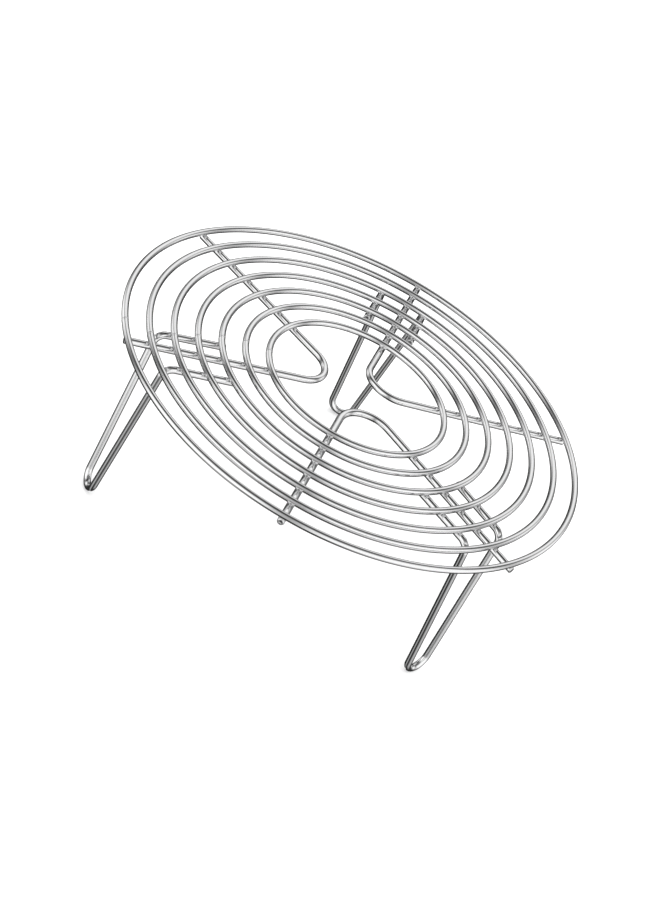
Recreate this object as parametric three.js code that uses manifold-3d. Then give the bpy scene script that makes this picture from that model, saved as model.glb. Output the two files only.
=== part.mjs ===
// Round wire cooling rack. Seven concentric rings lie on three bent cross wires, and three
// hairpin legs are fixed under the rings. Every wire is a separate piece; on the finished rack
// they are resistance-welded where they cross.
//
// Millimetres, +Z up. The origin is on the table under the centre of the rings, and -Y is the
// front. Headings are degrees counter-clockwise from +X, seen from above.
import Module from 'manifold-3d';
import * as THREE from 'three';
import { mergeVertices } from 'three/addons/utils/BufferGeometryUtils.js';

const manifold = await Module();
manifold.setup();

// Driving dimensions.
const RACK_DIAMETER = 230;
const RACK_HEIGHT = 86.5;
const RING_WIRE = 3.15;
const FRAME_WIRE = 3.45; // cross wires and legs
const RING_COUNT = 7;
const RING_PITCH = 11.5;

// Crossed wires are two pieces, so they stop just short of each other.
const WELD_GAP = 0.1;

// Cross wires: each is one wire bent into a V whose point is near the centre of the rack.
const CROSS_BEND_RADIUS = 14;

// Legs: each is one wire bent into a hairpin, with both ends turned in under rings 3 to 5.
const LEG_STUB_TIP = 63.5; // distance of the stub ends from the centre of the rack
const LEG_CORNER = 96.5; // distance of the bend between stub and shank
const LEG_FOOT = 102; // distance of the foot, so the legs stand slightly splayed
const LEG_TIP_HALF_GAP = 12.2; // half the distance between the two stubs at their ends
const LEG_CORNER_HALF_GAP = 11.7; // the same at the bend
const LEG_CORNER_RADIUS = 5;
const FOOT_RADIUS = 6.2;
const SOLE_FLAT = 0.15; // how much of the round of the foot is worn flat

// Each piece as it is set: a rack like this is welded by hand, a degree or two out of true.
// reach is how far the V's sharp corner lies from the centre of the rack, towards its arms, and
// tips are how far its two cut ends lie from the centre, the counter-clockwise one first.
const CROSS_WIRES = [
  { name: 'cross_wire_left', heading: 182.3, spread: 58.9, reach: 2.0, tips: [113.8, 114.6] },
  { name: 'cross_wire_back', heading: 59.8, spread: 60.6, reach: 1.2, tips: [114.6, 114.6] },
  { name: 'cross_wire_front', heading: 299.5, spread: 57.9, reach: 0.4, tips: [115.0, 114.5] },
];
// lean is how far the foot stands off the leg's middle line, counter-clockwise seen from above.
const LEGS = [
  { name: 'leg_left', heading: 212.2, lean: 4.4 },
  { name: 'leg_right', heading: 328.3, lean: 1.5 },
  { name: 'leg_back', heading: 91.3, lean: 0.4 },
];

// Fineness of the faceted shapes.
const WIRE_SIDES = 8;
const RING_CHORD_ERROR = 0.11;
const BEND_STEP = THREE.MathUtils.degToRad(15);

// Levels of the two layers of wire.
const RING_LEVEL = RACK_HEIGHT - RING_WIRE / 2;
const CROSS_LEVEL = RING_LEVEL - RING_WIRE / 2 - WELD_GAP - FRAME_WIRE / 2;
const OUTER_RING_RADIUS = (RACK_DIAMETER - RING_WIRE) / 2;

const CHROME = { color: 0xd4d6d9, roughness: 0.14, metalness: 1 };

// The corners of a wire's section. Its flats touch the round wire's circle, one of them faces
// straight up and one straight down.
function wireSection(diameter) {
  const cornerRadius = diameter / 2 / Math.cos(Math.PI / WIRE_SIDES);
  const corners = [];
  for (let side = 0; side < WIRE_SIDES; side += 1) {
    const angle = ((side + 0.5) * 2 * Math.PI) / WIRE_SIDES;
    corners.push(new THREE.Vector2(cornerRadius * Math.cos(angle), cornerRadius * Math.sin(angle)));
  }
  return corners;
}

function ringSegments(radius) {
  const fine = Math.PI / Math.acos(1 - RING_CHORD_ERROR / radius);
  return 4 * Math.ceil(fine / 4);
}

function ringGeometry(radius) {
  const profile = wireSection(RING_WIRE).map((corner) => new THREE.Vector2(radius + corner.x, corner.y));
  profile.push(profile[0].clone());
  const geometry = new THREE.LatheGeometry(profile, ringSegments(radius));
  geometry.rotateX(Math.PI / 2);
  return geometry;
}

// The centre line of a bent wire: straight lengths between corners, with each corner rounded to
// an arc. It holds one station at each end of a straight length and every BEND_STEP of an arc.
class BentWirePath extends THREE.Curve {
  constructor(corners, radii) {
    super();
    this.stations = [];
    this.directions = [];
    corners.forEach((corner, index) => {
      if (index === 0 || index === corners.length - 1) {
        this.addEnd(corner, corners[index === 0 ? 1 : index - 1], index === 0);
      } else {
        this.addBend(corners[index - 1], corner, corners[index + 1], radii[index - 1]);
      }
    });
  }

  get steps() {
    return this.stations.length - 1;
  }

  addEnd(end, neighbour, isFirst) {
    const direction = neighbour.clone().sub(end).normalize();
    this.stations.push(end.clone());
    this.directions.push(isFirst ? direction : direction.negate());
  }

  addBend(before, corner, after, radius) {
    const inward = corner.clone().sub(before).normalize();
    const outward = after.clone().sub(corner).normalize();
    const turn = inward.angleTo(outward);
    const start = corner.clone().addScaledVector(inward, -radius * Math.tan(turn / 2));
    const towardsCentre = outward.clone().addScaledVector(inward, -Math.cos(turn)).normalize();
    const centre = start.clone().addScaledVector(towardsCentre, radius);
    const count = 2 * Math.ceil(turn / BEND_STEP / 2) - 1;
    for (let index = 0; index <= count; index += 1) {
      const angle = (turn * index) / count;
      const station = centre.clone();
      station.addScaledVector(towardsCentre, -radius * Math.cos(angle));
      station.addScaledVector(inward, radius * Math.sin(angle));
      const direction = inward.clone().multiplyScalar(Math.cos(angle));
      direction.addScaledVector(towardsCentre, Math.sin(angle));
      this.stations.push(station);
      this.directions.push(direction);
    }
  }

  getPoint(t, target = new THREE.Vector3()) {
    return target.copy(this.stations[Math.round(t * this.steps)]);
  }

  getPointAt(u, target) {
    return this.getPoint(u, target);
  }

  getTangentAt(u, target = new THREE.Vector3()) {
    return target.copy(this.directions[Math.round(u * this.steps)]);
  }
}

function bentWireGeometry(corners, radii) {
  const path = new BentWirePath(corners, radii);
  const section = new THREE.Shape(wireSection(FRAME_WIRE));
  return new THREE.ExtrudeGeometry(section, { steps: path.steps, extrudePath: path });
}

// A cross wire in its own plane, with the middle line between its two arms along +X.
function crossWireGeometry({ spread, reach, tips }) {
  const half = THREE.MathUtils.degToRad(spread / 2);
  const bend = new THREE.Vector3(reach, 0, 0);
  const corners = [armTip(bend, half, tips[0]), bend, armTip(bend, -half, tips[1])];
  return bentWireGeometry(corners, [CROSS_BEND_RADIUS]);
}

// The end of a straight arm that leaves the bend at an angle and ends tipRadius from the centre.
function armTip(bend, angle, tipRadius) {
  const offLine = bend.x * Math.sin(angle);
  const armLength = Math.sqrt(tipRadius ** 2 - offLine ** 2) - bend.x * Math.cos(angle);
  const arm = new THREE.Vector3(Math.cos(angle), Math.sin(angle), 0);
  return bend.clone().addScaledVector(arm, armLength);
}

// A leg with its middle line along +X. The two shanks run on to a sharp corner below the table,
// and the foot is the arc that rounds it off.
function legGeometry({ lean }) {
  const top = new THREE.Vector3(LEG_CORNER, 0, CROSS_LEVEL);
  const foot = new THREE.Vector3(LEG_FOOT, lean, FRAME_WIRE / 2 - SOLE_FLAT);
  const down = foot.clone().sub(top);
  const toFootCentre = down.length() - FOOT_RADIUS;
  down.normalize();
  const tangentLength = Math.hypot(LEG_CORNER_HALF_GAP, toFootCentre);
  const taper = Math.atan2(LEG_CORNER_HALF_GAP, toFootCentre) - Math.asin(FOOT_RADIUS / tangentLength);
  const sharpCorner = top.clone().addScaledVector(down, LEG_CORNER_HALF_GAP / Math.tan(taper));
  const corners = [
    new THREE.Vector3(LEG_STUB_TIP, LEG_TIP_HALF_GAP, CROSS_LEVEL),
    new THREE.Vector3(LEG_CORNER, LEG_CORNER_HALF_GAP, CROSS_LEVEL),
    sharpCorner,
    new THREE.Vector3(LEG_CORNER, -LEG_CORNER_HALF_GAP, CROSS_LEVEL),
    new THREE.Vector3(LEG_STUB_TIP, -LEG_TIP_HALF_GAP, CROSS_LEVEL),
  ];
  const geometry = bentWireGeometry(corners, [LEG_CORNER_RADIUS, FOOT_RADIUS, LEG_CORNER_RADIUS]);
  return flattenSole(geometry);
}

// Cuts off what reaches below the table, so that the foot has a small flat sole.
function flattenSole(geometry) {
  const tableSize = 8 * FOOT_RADIUS;
  const table = new THREE.BoxGeometry(tableSize, tableSize, tableSize);
  table.translate(LEG_FOOT, 0, -tableSize / 2);
  const cut = toSolid(geometry).subtract(toSolid(table)).getMesh();
  const flattened = new THREE.BufferGeometry();
  flattened.setAttribute('position', new THREE.BufferAttribute(cut.vertProperties, cut.numProp));
  flattened.setIndex(new THREE.BufferAttribute(cut.triVerts, 1));
  flattened.computeVertexNormals();
  return flattened;
}

function toSolid(geometry) {
  const bare = geometry.clone();
  bare.deleteAttribute('normal');
  bare.deleteAttribute('uv');
  const merged = mergeVertices(bare);
  const vertProperties = merged.getAttribute('position').array;
  const triVerts = Uint32Array.from(merged.index.array);
  return new manifold.Manifold(new manifold.Mesh({ numProp: 3, vertProperties, triVerts }));
}

function addWire(rack, name, geometry, level, heading) {
  const wire = new THREE.Mesh(geometry, new THREE.MeshStandardMaterial(CHROME));
  wire.name = name;
  wire.position.z = level;
  wire.rotation.z = THREE.MathUtils.degToRad(heading);
  rack.add(wire);
}

function ringName(index) {
  if (index === 0) return 'outer_ring';
  if (index === RING_COUNT - 1) return 'inner_ring';
  return `ring_${index + 1}`;
}

const rack = new THREE.Group();
for (let index = 0; index < RING_COUNT; index += 1) {
  addWire(rack, ringName(index), ringGeometry(OUTER_RING_RADIUS - index * RING_PITCH), RING_LEVEL, 0);
}
for (const wire of CROSS_WIRES) {
  addWire(rack, wire.name, crossWireGeometry(wire), CROSS_LEVEL, wire.heading);
}
for (const leg of LEGS) {
  addWire(rack, leg.name, legGeometry(leg), 0, leg.heading);
}

export default rack;
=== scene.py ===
"""Round chrome wire cooling rack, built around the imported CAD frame.

Everything is in metres and in the frame's own axes: +Z is up, the table is at z = 0, and headings
are in degrees counter-clockwise from +X, seen from above. Each CAD wire is replaced by a finely
made round wire. The cross wires and legs are pressed up into the rings, where the CAD model leaves
a small gap, and the resistance welds are added where wires cross.
"""

import math
import random

import bmesh
import bpy
from mathutils import Matrix, Vector, kdtree


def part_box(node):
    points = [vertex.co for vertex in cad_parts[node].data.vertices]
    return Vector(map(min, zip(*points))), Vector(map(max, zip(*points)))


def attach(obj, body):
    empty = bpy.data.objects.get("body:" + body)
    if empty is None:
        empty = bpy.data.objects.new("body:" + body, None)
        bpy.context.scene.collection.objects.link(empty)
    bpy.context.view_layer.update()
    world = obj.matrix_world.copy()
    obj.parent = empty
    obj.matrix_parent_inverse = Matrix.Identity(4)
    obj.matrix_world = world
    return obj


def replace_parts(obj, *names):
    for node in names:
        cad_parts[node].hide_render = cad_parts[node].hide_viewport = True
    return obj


MM = 0.001

# The layout of the rack, as in the CAD model. The reach and tips of a cross wire are in millimetres.
RING_NAMES = ["outer_ring", "ring_2", "ring_3", "ring_4", "ring_5", "ring_6", "inner_ring"]
CROSS_WIRES = [
    {"name": "cross_wire_left", "heading": 182.3, "spread": 58.9, "reach": 2.0, "tips": (113.8, 114.6)},
    {"name": "cross_wire_back", "heading": 59.8, "spread": 60.6, "reach": 1.2, "tips": (114.6, 114.6)},
    {"name": "cross_wire_front", "heading": 299.5, "spread": 57.9, "reach": 0.4, "tips": (115.0, 114.5)},
]
CROSS_BEND_RADIUS = 14 * MM
LEGS = [
    {"name": "leg_left", "heading": 212.2, "lean": 4.4 * MM},
    {"name": "leg_right", "heading": 328.3, "lean": 1.5 * MM},
    {"name": "leg_back", "heading": 91.3, "lean": 0.4 * MM},
]
LEG_STUB_TIP = 63.5 * MM
LEG_CORNER = 96.5 * MM
LEG_FOOT = 102 * MM
LEG_TIP_HALF_GAP = 12.2 * MM
LEG_CORNER_HALF_GAP = 11.7 * MM
LEG_CORNER_RADIUS = 5 * MM
FOOT_RADIUS = 6.2 * MM
SOLE_FLAT = 0.15 * MM

# How the wires are made and joined.
SET_DOWN = 0.25 * MM  # how far crossed wires are pressed into each other by the welding
NUGGET_RADIUS = 0.85 * MM  # of a weld between two wires
NUGGET_INSIDE = 0.06 * MM  # how far the rim of a weld is sunk into both wires
NUGGET_DEPTH = 0.7  # how deep its two cones go into the wires, as a share of their radius
NUGGET_CORNERS = 0.27  # how much further a weld reaches into the four corners between the wires
NUGGET_SIZES = (0.94, 1.08)  # the least and the most size of a weld, as a share of NUGGET_RADIUS
NUGGET_WAISTS = (0.02, 0.14)  # how far its rim is drawn in between the wires, in millimetres
NUGGET_LOBE = 0.05  # the most that one lobe of its uneven outline stands out, as a share
END_ROUNDING = 0.7 * MM
RING_WAVE = 0.12 * MM  # the scale of the waves by which a ring wanders from a true circle
WAVE_ORDERS = range(2, 7)  # how many times each of those waves goes up and down round the ring
SEAM_HEADINGS = [206, 209, 207, 204, 200, 197, 197]  # where the butt welds of the rings lie
SEAM_STEP = 0.08 * MM  # how far the two ends of a ring miss each other
SEAM_MISS_REACH = 3.5 * MM  # how fast that miss dies away along the ring
SEAM_COLLAR = 0.03  # how much thicker the wire is round a butt weld, as a share
SEAM_COLLAR_REACH = 1.0 * MM
SEAM_GROOVE = 0.05  # how much thinner it is in the line of the weld itself
SEAM_GROOVE_REACH = 0.22 * MM
CUT_FACE_PROUD = 0.04 * MM  # how far the middle of a sheared end stands out
HEAT_AND_SHADE_REACH = 2.4 * MM  # how far the dulling round a weld spreads, and with it the painted shade round the crossing
WEAR_REACH = 0.5 * MM  # how far up from the table a foot is worn

# Fineness of the wires.
WIRE_SIDES = 24
STATION_STEP = 1.2 * MM
BEND_STEP = math.radians(6)
END_STEPS = 5
SEAM_STEPS = 16
SEAM_FINE_LENGTH = 2.4 * MM  # how much of a ring, each side of its butt weld, is made that finely
NUGGET_SIDES = 24
NUGGET_ROWS = 5

# What the surface went through, and where shade is painted round the welds, held in the meshes for the
# chrome to read.
LAY = "lay"  # the place in the wire's own lay: along it and two ways across it
HEAT_AND_SHADE = "heat"  # 1 at a weld: where it is dulled, and where shade is painted into the crevices round the crossing
WEAR = "wear"  # 1 at the table
CUT = "cut"  # 1 on a sheared face


# ---------------------------------------------------------------- centre lines


class Station:
    """One place along a wire: its point, the wire's direction and radius there, and how far along."""

    def __init__(self, point, direction, radius, cut=0.0):
        self.point = point
        self.direction = direction
        self.radius = radius
        self.cut = cut
        self.along = 0.0


def measure_along(stations):
    """Fills in how far along the wire each station lies."""
    for before, station in zip(stations, stations[1:]):
        station.along = before.along + (station.point - before.point).length
    return stations


def straight_points(start, end):
    """Evenly spaced points from start towards end, with the end left out."""
    count = max(1, math.ceil((end - start).length / STATION_STEP))
    return [start.lerp(end, index / count) for index in range(count)]


def bent_line(corners, radii):
    """(point, direction) pairs along a line through the corners, each inner corner rounded."""
    line = []
    place = corners[0]
    for before, corner, after, radius in zip(corners, corners[1:], corners[2:], radii):
        inward = (corner - before).normalized()
        outward = (after - corner).normalized()
        turn = inward.angle(outward)
        start = corner - inward * (radius * math.tan(turn / 2))
        to_centre = (outward - inward * math.cos(turn)).normalized()
        centre = start + to_centre * radius
        line += [(point, inward) for point in straight_points(place, start)]
        count = math.ceil(turn / BEND_STEP)
        for index in range(count):
            angle = turn * index / count
            point = centre + (inward * math.sin(angle) - to_centre * math.cos(angle)) * radius
            line.append((point, inward * math.cos(angle) + to_centre * math.sin(angle)))
        place = corner + outward * (radius * math.tan(turn / 2))
    last = (corners[-1] - corners[-2]).normalized()
    line += [(point, last) for point in straight_points(place, corners[-1])]
    line.append((corners[-1], last))
    return line


def cut_end(tip, inward, radius):
    """(point, radius, cut) of a sheared end with a rounded edge, from the face inwards."""
    places = []
    for index in range(END_STEPS + 1):
        angle = math.pi / 2 * index / END_STEPS
        inset = END_ROUNDING * (1 - math.cos(angle))
        narrowed = radius - END_ROUNDING * (1 - math.sin(angle))
        places.append((tip + inward * inset, narrowed, math.cos(angle)))
    return places


def open_wire(line, radius):
    """The stations of a wire with two cut ends along the line."""
    first_tip, first = line[0]
    last_tip, last = line[-1]
    opening = cut_end(first_tip, first, radius)
    closing = cut_end(last_tip, -last, radius)
    stations = [Station(point, first, narrowed, cut) for point, narrowed, cut in opening]
    stations += [Station(point, direction, radius) for point, direction in line[1:-1]]
    stations += [Station(point, last, narrowed, cut) for point, narrowed, cut in reversed(closing)]
    return measure_along(stations)


def seam_profile(distance):
    """How much thicker a ring's wire is, as a share, this far from its butt weld."""
    collar = SEAM_COLLAR * math.exp(-((distance / SEAM_COLLAR_REACH) ** 2))
    groove = SEAM_GROOVE * math.exp(-((distance / SEAM_GROOVE_REACH) ** 2))
    return collar - groove


def seam_miss(distance, length):
    """How far a ring's wire is out of place this far along it, by the miss at its butt weld."""
    after_weld = math.exp(-distance / SEAM_MISS_REACH)
    before_weld = math.exp(-(length - distance) / SEAM_MISS_REACH)
    return SEAM_STEP / 2 * (after_weld - before_weld)


def ring_distances(length):
    """Distances along a ring's wire from its seam, close together near the seam."""
    near = SEAM_FINE_LENGTH
    fine = [near * index / SEAM_STEPS for index in range(SEAM_STEPS + 1)]
    count = math.ceil((length - 2 * near) / STATION_STEP)
    coarse = [near + (length - 2 * near) * index / count for index in range(1, count)]
    return fine + coarse + [length - distance for distance in reversed(fine[1:])]


def random_waves(least, most):
    """(order, size, start) of each wave that goes round a ring."""
    waves = []
    for order in WAVE_ORDERS:
        size = random.uniform(least, most) / order
        start = random.uniform(0, math.tau)
        waves.append((order, size, start))
    return waves


def wave_at(waves, heading):
    return RING_WAVE * sum(size * math.cos(order * heading + start) for order, size, start in waves)


def ring_stations(radius, level, wire_radius, seam_heading):
    """The stations of one ring, which starts and ends at its seam."""
    waves = random_waves(least=0.3, most=1)
    lifts = random_waves(least=0.1, most=0.5)
    length = math.tau * radius
    stations = []
    for distance in ring_distances(length):
        heading = math.radians(seam_heading) + distance / radius
        outward = Vector((math.cos(heading), math.sin(heading), 0))
        reach = radius + wave_at(waves, heading) + seam_miss(distance, length)
        point = outward * reach + Vector((0, 0, level + wave_at(lifts, heading)))
        direction = Vector((-outward.y, outward.x, 0))
        thickness = 1 + seam_profile(min(distance, length - distance))
        stations.append(Station(point, direction, wire_radius * thickness))
    return measure_along(stations)


def cross_wire_line(spread, reach, tips):
    """A cross wire in its own plane, with the middle line between its arms along +X."""
    half = math.radians(spread / 2)
    bend = Vector((reach, 0, 0))
    return [arm_tip(bend, half, tips[0]), bend, arm_tip(bend, -half, tips[1])], [CROSS_BEND_RADIUS]


def arm_tip(bend, angle, tip_radius):
    """The end of a straight arm that leaves the bend at an angle and ends so far from the centre."""
    arm = math.sqrt(tip_radius**2 - (bend.x * math.sin(angle)) ** 2) - bend.x * math.cos(angle)
    return bend + Vector((math.cos(angle), math.sin(angle), 0)) * arm


def leg_line(lean, top_level, wire_radius):
    """A leg with its middle line along +X. Its foot rounds off a corner that lies below the table."""
    top = Vector((LEG_CORNER, 0, top_level))
    foot = Vector((LEG_FOOT, lean, wire_radius - SOLE_FLAT))
    down = (foot - top).normalized()
    to_foot_centre = (foot - top).length - FOOT_RADIUS
    tangent_length = math.hypot(LEG_CORNER_HALF_GAP, to_foot_centre)
    taper = math.atan2(LEG_CORNER_HALF_GAP, to_foot_centre) - math.asin(FOOT_RADIUS / tangent_length)
    sharp_corner = top + down * (LEG_CORNER_HALF_GAP / math.tan(taper))
    corners = [
        Vector((LEG_STUB_TIP, LEG_TIP_HALF_GAP, top_level)),
        Vector((LEG_CORNER, LEG_CORNER_HALF_GAP, top_level)),
        sharp_corner,
        Vector((LEG_CORNER, -LEG_CORNER_HALF_GAP, top_level)),
        Vector((LEG_STUB_TIP, -LEG_TIP_HALF_GAP, top_level)),
    ]
    return corners, [LEG_CORNER_RADIUS, FOOT_RADIUS, LEG_CORNER_RADIUS]


def placed(corners, heading, level=0.0):
    """The corners turned to their heading and lifted to their level."""
    turn = Matrix.Rotation(math.radians(heading), 3, "Z")
    return [turn @ corner + Vector((0, 0, level)) for corner in corners]


# ---------------------------------------------------------------- meshes


def cross_sections(stations):
    """Two directions across the wire at each station, carried along it without twist."""
    side = Vector((0, 0, 1)).cross(stations[0].direction).normalized()
    before = stations[0].direction
    for station in stations:
        side = before.rotation_difference(station.direction) @ side
        side = (side - station.direction * side.dot(station.direction)).normalized()
        before = station.direction
        yield side, station.direction.cross(side)


def set_attribute(mesh, name, kind, domain, values):
    attribute = mesh.attributes.new(name, kind, domain)
    attribute.data.foreach_set("vector" if kind == "FLOAT_VECTOR" else "value", values)


def wire_mesh(name, stations, closed, welds):
    """A round wire along the stations, with what its surface went through, and the painted shade round its
    welds, held in attributes.
    """
    vertices = []
    lays = []
    for station, (side, other) in zip(stations, cross_sections(stations)):
        for index in range(WIRE_SIDES):
            angle = math.tau * index / WIRE_SIDES
            across = side * math.cos(angle) + other * math.sin(angle)
            vertex = station.point + across * station.radius
            vertex.z = max(vertex.z, 0.0)
            vertices.append(vertex)
            lays.append((station.along, station.radius * math.cos(angle), station.radius * math.sin(angle)))
    rows = len(stations)
    faces = []
    corner_lays = []
    length = stations[-1].along + (stations[0].point - stations[-1].point).length
    for row in range(rows if closed else rows - 1):
        next_row = (row + 1) % rows
        for index in range(WIRE_SIDES):
            next_index = (index + 1) % WIRE_SIDES
            face = [
                row * WIRE_SIDES + index,
                next_row * WIRE_SIDES + index,
                next_row * WIRE_SIDES + next_index,
                row * WIRE_SIDES + next_index,
            ]
            faces.append(face)
            for corner, vertex in enumerate(face):
                along = length if corner in (1, 2) and next_row == 0 else lays[vertex][0]
                corner_lays += [along, lays[vertex][1], lays[vertex][2]]
    cuts = [station.cut for station in stations for _ in range(WIRE_SIDES)]
    if not closed:
        add_cut_face(vertices, lays, cuts, faces, corner_lays, stations[0], 0, -1)
        add_cut_face(vertices, lays, cuts, faces, corner_lays, stations[-1], (rows - 1) * WIRE_SIDES, 1)
    mesh = bpy.data.meshes.new(name)
    mesh.from_pydata(vertices, [], faces)
    set_attribute(mesh, LAY, "FLOAT_VECTOR", "CORNER", corner_lays)
    set_attribute(mesh, CUT, "FLOAT", "POINT", cuts)
    set_attribute(mesh, HEAT_AND_SHADE, "FLOAT", "POINT", [heat_and_shade_at(vertex, welds) for vertex in vertices])
    set_attribute(mesh, WEAR, "FLOAT", "POINT", [math.exp(-vertex.z / WEAR_REACH) for vertex in vertices])
    mesh.shade_smooth()
    return finished(name, mesh)


def add_cut_face(vertices, lays, cuts, faces, corner_lays, station, first, sense):
    """Closes one end of a wire by a fan whose middle stands a little proud, as a sheared end does."""
    middle = len(vertices)
    vertices.append(station.point + station.direction * (sense * CUT_FACE_PROUD))
    lays.append((station.along, 0, 0))
    cuts.append(1.0)
    for index in range(WIRE_SIDES):
        here = first + index
        following = first + (index + 1) % WIRE_SIDES
        face = [middle, here, following] if sense > 0 else [middle, following, here]
        faces.append(face)
        for vertex in face:
            corner_lays += lays[vertex]


def heat_and_shade_at(vertex, welds):
    """1 at a weld, falling off towards 0 a few millimetres away: the weld's dulling and the painted shade
    round it.
    """
    _, _, distance = welds.find(vertex)
    return math.exp(-((max(distance - NUGGET_RADIUS, 0) / HEAT_AND_SHADE_REACH) ** 2))


def finished(name, mesh):
    """The mesh as an object in chrome that stands in the root body."""
    piece = bpy.data.objects.new(name, mesh)
    bpy.context.scene.collection.objects.link(piece)
    mesh.materials.append(CHROME)
    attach(piece, "root")
    return piece


# ---------------------------------------------------------------- welds


class Crossing:
    """One place where a ring lies across a straight length of wire, seen from above."""

    def __init__(self, place):
        self.place = place
        self.along_ring = Vector((-place.y, place.x, 0)).normalized()
        self.across_ring = Vector((place.x, place.y, 0)).normalized()


def crossings_of(start, end, ring_radii, level):
    """Where the rings cross the straight wire from start to end."""
    found = []
    run = (end - start).to_2d()
    direction = run.normalized()
    nearest = start.to_2d() - direction * start.to_2d().dot(direction)
    for radius in ring_radii:
        if radius <= nearest.length:
            continue
        half_chord = math.sqrt(radius**2 - nearest.length_squared)
        for sense in (-1, 1):
            place = nearest + direction * (sense * half_chord)
            share = (place - start.to_2d()).dot(direction) / run.length
            if 0 < share < 1:
                found.append(Crossing(place.to_3d() + Vector((0, 0, level))))
    return found


def nugget_shape(crossing, ring_radius, frame_radius):
    """A weld's metal between the two wires: two flat cones inside them, joined by an uneven rim."""
    size = NUGGET_RADIUS * random.uniform(*NUGGET_SIZES)
    waist = random.uniform(*NUGGET_WAISTS) * MM
    lobes = []
    for order in (1, 2, 3, 5):
        share = random.uniform(0, NUGGET_LOBE)
        start = random.uniform(0, math.tau)
        lobes.append((order, share, start))
    top = Vector((0, 0, NUGGET_DEPTH * ring_radius))
    bottom = Vector((0, 0, -NUGGET_DEPTH * frame_radius))
    vertices = [top, bottom]
    for side in range(NUGGET_SIDES):
        angle = math.tau * side / NUGGET_SIDES
        unevenness = sum(share * math.cos(order * angle + start) for order, share, start in lobes)
        reach = size * (1 + NUGGET_CORNERS * abs(math.sin(2 * angle)) + unevenness)
        off_ring = reach * abs(math.sin(angle))
        off_wire = reach * abs(math.cos(angle))
        above = ring_radius - math.sqrt(ring_radius**2 - off_ring**2) - SET_DOWN / 2 + NUGGET_INSIDE
        below = math.sqrt(frame_radius**2 - off_wire**2) - frame_radius + SET_DOWN / 2 - NUGGET_INSIDE
        for row in range(NUGGET_ROWS):
            share = row / (NUGGET_ROWS - 1)
            radius = reach - waist * math.sin(math.pi * share)
            height = above + (below - above) * share
            vertices.append(Vector((radius * math.cos(angle), radius * math.sin(angle), height)))
    faces = []
    for side in range(NUGGET_SIDES):
        here = 2 + side * NUGGET_ROWS
        following = 2 + (side + 1) % NUGGET_SIDES * NUGGET_ROWS
        faces.append([0, here, following])
        for row in range(NUGGET_ROWS - 1):
            faces.append([here + row, here + row + 1, following + row + 1, following + row])
        faces.append([1, following + NUGGET_ROWS - 1, here + NUGGET_ROWS - 1])
    return [placed_on(crossing, vertex) for vertex in vertices], faces


def placed_on(crossing, vertex):
    """A point of a weld's own frame, +X along the ring and +Y towards its centre, put on the crossing."""
    flat = crossing.along_ring * vertex.x - crossing.across_ring * vertex.y
    return crossing.place + flat + Vector((0, 0, vertex.z))


def weld_mesh(name, crossings, ring_radius, frame_radius):
    """All the welds of one wire, as one piece."""
    vertices = []
    faces = []
    for crossing in crossings:
        nugget_vertices, nugget_faces = nugget_shape(crossing, ring_radius, frame_radius)
        faces += [[len(vertices) + index for index in face] for face in nugget_faces]
        vertices += nugget_vertices
    mesh = bpy.data.meshes.new(name)
    mesh.from_pydata(vertices, [], faces)
    lays = [coordinate for face in faces for index in face for coordinate in vertices[index]]
    set_attribute(mesh, LAY, "FLOAT_VECTOR", "CORNER", lays)
    set_attribute(mesh, CUT, "FLOAT", "POINT", [0.0] * len(vertices))
    # The whole weld is dulled and darkened: heat tint plus painted shade between the wires.
    set_attribute(mesh, HEAT_AND_SHADE, "FLOAT", "POINT", [1.0] * len(vertices))
    set_attribute(mesh, WEAR, "FLOAT", "POINT", [0.0] * len(vertices))
    mesh.shade_smooth()
    return finished(name, mesh)


# ---------------------------------------------------------------- material


class Nodes:
    """Adds nodes to a tree and joins them with few words."""

    def __init__(self, tree):
        self.tree = tree

    def add(self, kind, settings=None, **inputs):
        node = self.tree.nodes.new(kind)
        for key, value in (settings or {}).items():
            setattr(node, key, value)
        for key, value in inputs.items():
            self.put(node.inputs[key.replace("_", " ")], value)
        return node

    def put(self, socket, value):
        if isinstance(value, bpy.types.NodeSocket):
            self.tree.links.new(value, socket)
        else:
            socket.default_value = value

    def math(self, operation, first, second):
        node = self.tree.nodes.new("ShaderNodeMath")
        node.operation = operation
        self.put(node.inputs[0], first)
        self.put(node.inputs[1], second)
        return node.outputs[0]

    def blend(self, share, first, second):
        node = self.tree.nodes.new("ShaderNodeMix")
        node.data_type = "RGBA"
        self.put(node.inputs["Factor"], share)
        self.put(node.inputs["A"], first)
        self.put(node.inputs["B"], second)
        return node.outputs["Result"]

    def attribute(self, name):
        node = self.tree.nodes.new("ShaderNodeAttribute")
        node.attribute_name = name
        return node

    def stretched_noise(self, along, across, detail):
        """Noise in the wire's own lay, with so many cycles to the metre along and across it."""
        place = self.add("ShaderNodeVectorMath", {"operation": "MULTIPLY"})
        self.put(place.inputs[0], self.attribute(LAY).outputs["Vector"])
        place.inputs[1].default_value = (along, across, across)
        noise = self.add("ShaderNodeTexNoise", Vector=place.outputs[0], Scale=1.0, Detail=detail)
        return noise.outputs["Fac"]


# The chrome's colour varies between these two. The others are mixed in, by these shares at most.
CHROME_LIGHT = (0.80, 0.80, 0.803, 1)
CHROME_DARK = (0.74, 0.74, 0.743, 1)
# A darker grey round the welds: partly heat tint, partly painted shade in the crevices where the wires
# cross.
SCORCHED_AND_SHADED = (0.46, 0.455, 0.45, 1)
SCORCHED_AND_SHADED_SHARE = 0.25
SHEARED = (0.36, 0.36, 0.36, 1)
SHEARED_SHARE = 0.4

# The roughness of clean chrome, and the most that each of these adds to it.
CLEAN_ROUGHNESS = 0.06
LINES_ROUGHNESS = 0.08
HEAT_ROUGHNESS = 0.10
CUT_ROUGHNESS = 0.15
WEAR_ROUGHNESS = 0.25


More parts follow.
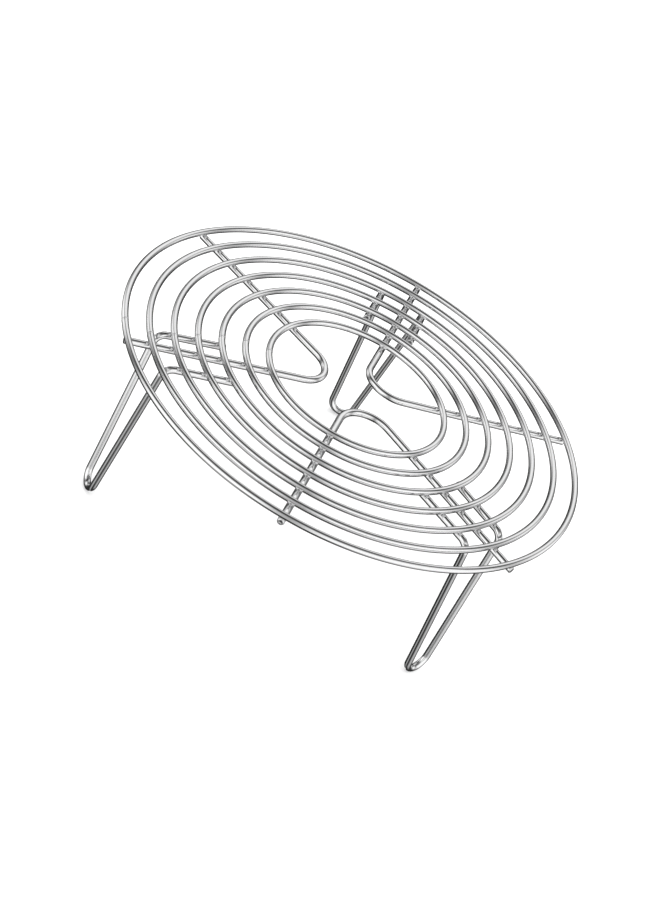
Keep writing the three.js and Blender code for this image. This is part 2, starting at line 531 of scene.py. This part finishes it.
def chrome_material():
    """Bright chrome plating over drawn steel wire, duller at the welds, the cut ends and the soles, and
    darker round the welds by heat tint and painted shade.
    """
    material = bpy.data.materials.new("chrome_wire")
    material.use_nodes = True
    tree = material.node_tree
    tree.nodes.clear()
    nodes = Nodes(tree)
    heat = nodes.attribute(HEAT_AND_SHADE).outputs["Fac"]
    cut = nodes.attribute(CUT).outputs["Fac"]
    wear = nodes.attribute(WEAR).outputs["Fac"]

    drawing_lines = nodes.stretched_noise(along=90, across=9000, detail=3)
    plating = nodes.stretched_noise(along=900, across=1200, detail=4)
    clouds = nodes.stretched_noise(along=60, across=250, detail=2)
    speckle = nodes.stretched_noise(along=3800, across=3800, detail=2)

    # Darkening round each weld: partly heat tint, partly painted shade in the crevices where the wires
    # cross.
    scorch_and_shade = nodes.math("MULTIPLY", heat, nodes.math("MULTIPLY", speckle, SCORCHED_AND_SHADED_SHARE))
    colour = nodes.blend(clouds, CHROME_LIGHT, CHROME_DARK)
    colour = nodes.blend(scorch_and_shade, colour, SCORCHED_AND_SHADED)
    colour = nodes.blend(nodes.math("MULTIPLY", cut, SHEARED_SHARE), colour, SHEARED)

    rough = nodes.math("ADD", nodes.math("MULTIPLY", drawing_lines, LINES_ROUGHNESS), CLEAN_ROUGHNESS)
    burnt = nodes.math("MULTIPLY", heat, nodes.math("MULTIPLY", speckle, HEAT_ROUGHNESS))
    rough = nodes.math("ADD", rough, burnt)
    rough = nodes.math("ADD", rough, nodes.math("MULTIPLY", cut, CUT_ROUGHNESS))
    rough = nodes.math("ADD", rough, nodes.math("MULTIPLY", wear, WEAR_ROUGHNESS))

    lines = nodes.add("ShaderNodeBump", Height=drawing_lines, Strength=0.5, Distance=0.006 * MM)
    pits = nodes.add("ShaderNodeBump", Height=plating, Strength=0.4, Distance=0.03 * MM)
    nodes.put(pits.inputs["Normal"], lines.outputs["Normal"])
    skin = nodes.math("MULTIPLY", heat, speckle)
    weld_skin = nodes.add("ShaderNodeBump", Height=skin, Strength=0.35, Distance=0.06 * MM)
    nodes.put(weld_skin.inputs["Normal"], pits.outputs["Normal"])

    shader = nodes.add("ShaderNodeBsdfPrincipled", Metallic=1.0)
    nodes.put(shader.inputs["Base Color"], colour)
    nodes.put(shader.inputs["Roughness"], rough)
    nodes.put(shader.inputs["Normal"], weld_skin.outputs["Normal"])
    output = nodes.add("ShaderNodeOutputMaterial")
    nodes.put(output.inputs["Surface"], shader.outputs["BSDF"])
    return material


def floor_material():
    material = bpy.data.materials.new("pale_floor")
    material.use_nodes = True
    shader = material.node_tree.nodes["Principled BSDF"]
    shader.inputs["Base Color"].default_value = (0.92, 0.92, 0.92, 1)
    shader.inputs["Roughness"].default_value = 0.9
    return material


# ---------------------------------------------------------------- the rack


def build_rack():
    ring_low, ring_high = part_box("outer_ring")
    cross_low, cross_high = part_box("cross_wire_left")
    ring_radius = (ring_high.z - ring_low.z) / 2
    frame_radius = (cross_high.z - cross_low.z) / 2
    ring_level = (ring_high.z + ring_low.z) / 2
    cross_level = ring_low.z + SET_DOWN - frame_radius
    weld_level = ring_low.z + SET_DOWN / 2
    ring_radii = [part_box(name)[1].x - ring_radius for name in RING_NAMES]

    wires = {}
    for wire in CROSS_WIRES:
        tips = [tip * MM for tip in wire["tips"]]
        corners, radii = cross_wire_line(wire["spread"], wire["reach"] * MM, tips)
        wires[wire["name"]] = (placed(corners, wire["heading"], cross_level), radii)
    for leg in LEGS:
        corners, radii = leg_line(leg["lean"], cross_level, frame_radius)
        wires[leg["name"]] = (placed(corners, leg["heading"]), radii)

    crossings = {}
    for name, (corners, _) in wires.items():
        crossings[name] = crossings_of(corners[0], corners[1], ring_radii, weld_level)
        crossings[name] += crossings_of(corners[-2], corners[-1], ring_radii, weld_level)
    welds = kdtree.KDTree(sum(len(found) for found in crossings.values()))
    for found in crossings.values():
        for crossing in found:
            welds.insert(crossing.place, 0)
    welds.balance()

    for name, radius, seam in zip(RING_NAMES, ring_radii, SEAM_HEADINGS):
        stations = ring_stations(radius, ring_level, ring_radius, seam)
        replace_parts(wire_mesh(name + "_wire", stations, True, welds), name)
    for name, (corners, radii) in wires.items():
        stations = open_wire(bent_line(corners, radii), frame_radius)
        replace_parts(wire_mesh(name + "_wire", stations, False, welds), name)
        weld_mesh(name + "_welds", crossings[name], ring_radius, frame_radius)


# ---------------------------------------------------------------- studio and camera

# The camera looks along +Y and down, and is rolled about its own line of sight.
VIEW_ELEVATION = math.radians(34.317)
VIEW_ROLL = math.radians(30.528)
VIEW_DISTANCE = 0.8191
VIEW_LENS = 71.39
OFF_CENTRE_RIGHT = 0.01274  # how far right of the camera's axis the middle of the rings stands
OFF_CENTRE_UP = 0.02903

# The soft boxes round the rack. Each is given by where its middle stands as seen from the rack, how
# far it reaches from there to the sides and up and down, all in degrees, and how bright it is.
SOFT_BOXES = [
    {"azimuth": -134, "elevation": 14, "half_width": 41, "half_height": 36, "light": 1.33},
    {"azimuth": -35, "elevation": 14, "half_width": 46, "half_height": 40, "light": 1.22},
    {"azimuth": 34, "elevation": 6, "half_width": 14, "half_height": 22, "light": 1.25},
    {"azimuth": 152, "elevation": 6, "half_width": 12, "half_height": 22, "light": 1.4},
    {"azimuth": 94, "elevation": 38, "half_width": 40, "half_height": 16, "light": 1.1},
    {"azimuth": -70, "elevation": 68, "half_width": 110, "half_height": 14, "light": 0.16},
    {"azimuth": 97, "elevation": -64, "half_width": 13, "half_height": 28, "light": 1.32},
    {"azimuth": -26, "elevation": -42, "half_width": 28, "half_height": 16, "light": 0.47},
    {"azimuth": -130, "elevation": -72, "half_width": 15, "half_height": 53, "light": 0.48},
]
SOFT_EDGE = 8  # how softly a box fades at its edges, in degrees
DIM_LIGHT = 0.03  # what comes from everywhere else
TENT_RADIUS = 3.0
GLOW = "glow"
ROOM_LIGHT = 1.6
FLOOR_HALF = 4.0  # half the side of the floor


def add_floor():
    mesh = bpy.data.meshes.new("floor")
    corners = [(-1, -1), (1, -1), (1, 1), (-1, 1)]
    mesh.from_pydata([(FLOOR_HALF * x, FLOOR_HALF * y, 0) for x, y in corners], [], [[0, 1, 2, 3]])
    floor = bpy.data.objects.new("floor", mesh)
    bpy.context.scene.collection.objects.link(floor)
    mesh.materials.append(floor_material())
    floor.visible_glossy = False
    floor.visible_shadow = False


def box_light(box, azimuth, elevation):
    """How much of one soft box is seen in a direction: 1 well inside it and 0 well outside."""
    aside = abs((azimuth - box["azimuth"] + 180) % 360 - 180)
    above = abs(elevation - box["elevation"])
    return fade(box["half_width"] - aside) * fade(box["half_height"] - above)


def fade(inside):
    """The soft edge of a box, so many degrees inside it."""
    return 1 / (1 + math.exp(-2 * inside / SOFT_EDGE))


def tent_light(direction):
    """The light that reaches the rack from a direction."""
    azimuth = math.degrees(math.atan2(direction.y, direction.x))
    elevation = math.degrees(math.asin(max(-1, min(1, direction.z))))
    return DIM_LIGHT + sum(box["light"] * box_light(box, azimuth, elevation) for box in SOFT_BOXES)


def add_soft_boxes():
    """The soft boxes as patches of light on the inside of one large ball, seen only by the chrome."""
    mesh = bpy.data.meshes.new("soft_boxes")
    builder = bmesh.new()
    bmesh.ops.create_uvsphere(builder, u_segments=120, v_segments=60, radius=TENT_RADIUS)
    builder.to_mesh(mesh)
    builder.free()
    lights = [tent_light(vertex.co.normalized()) for vertex in mesh.vertices]
    set_attribute(mesh, GLOW, "FLOAT", "POINT", lights)
    material = bpy.data.materials.new("soft_box")
    material.use_nodes = True
    material.node_tree.nodes.clear()
    nodes = Nodes(material.node_tree)
    glow = nodes.attribute(GLOW).outputs["Fac"]
    emission = nodes.add("ShaderNodeEmission", Strength=glow)
    nodes.add("ShaderNodeOutputMaterial", Surface=emission.outputs["Emission"])
    mesh.materials.append(material)
    tent = bpy.data.objects.new("soft_boxes", mesh)
    bpy.context.scene.collection.objects.link(tent)
    tent.visible_camera = False
    tent.visible_diffuse = False
    tent.visible_shadow = False


def add_white_room():
    """Even white light on the floor and white behind it, which the chrome doesn't mirror."""
    world = bpy.data.worlds.new("white_room")
    bpy.context.scene.world = world
    world.use_nodes = True
    background = world.node_tree.nodes["Background"]
    background.inputs["Color"].default_value = (1, 1, 1, 1)
    background.inputs["Strength"].default_value = ROOM_LIGHT
    world.cycles_visibility.glossy = False


def add_camera():
    back = Vector((0, -math.cos(VIEW_ELEVATION), math.sin(VIEW_ELEVATION)))
    level = Vector((1, 0, 0))
    steep = back.cross(level)
    right = level * math.cos(VIEW_ROLL) + steep * math.sin(VIEW_ROLL)
    up = steep * math.cos(VIEW_ROLL) - level * math.sin(VIEW_ROLL)
    low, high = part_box("outer_ring")
    middle = (low + high) / 2
    camera_data = bpy.data.cameras.new("camera")
    camera_data.lens = VIEW_LENS
    camera = bpy.data.objects.new("camera", camera_data)
    turn = Matrix((right, up, back)).transposed().to_4x4()
    place = middle + back * VIEW_DISTANCE - right * OFF_CENTRE_RIGHT - up * OFF_CENTRE_UP
    camera.matrix_world = Matrix.Translation(place) @ turn
    bpy.context.scene.collection.objects.link(camera)
    bpy.context.scene.camera = camera


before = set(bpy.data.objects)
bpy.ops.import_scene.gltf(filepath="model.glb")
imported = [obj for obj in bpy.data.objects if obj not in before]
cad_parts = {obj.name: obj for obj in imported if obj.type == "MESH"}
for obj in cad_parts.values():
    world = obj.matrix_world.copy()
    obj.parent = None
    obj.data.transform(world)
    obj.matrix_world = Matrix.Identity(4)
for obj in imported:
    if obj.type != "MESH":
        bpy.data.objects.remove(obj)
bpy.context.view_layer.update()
random.seed(7)
CHROME = chrome_material()
build_rack()
add_floor()
add_soft_boxes()
add_white_room()
add_camera()
bpy.context.scene.view_settings.view_transform = "Standard"
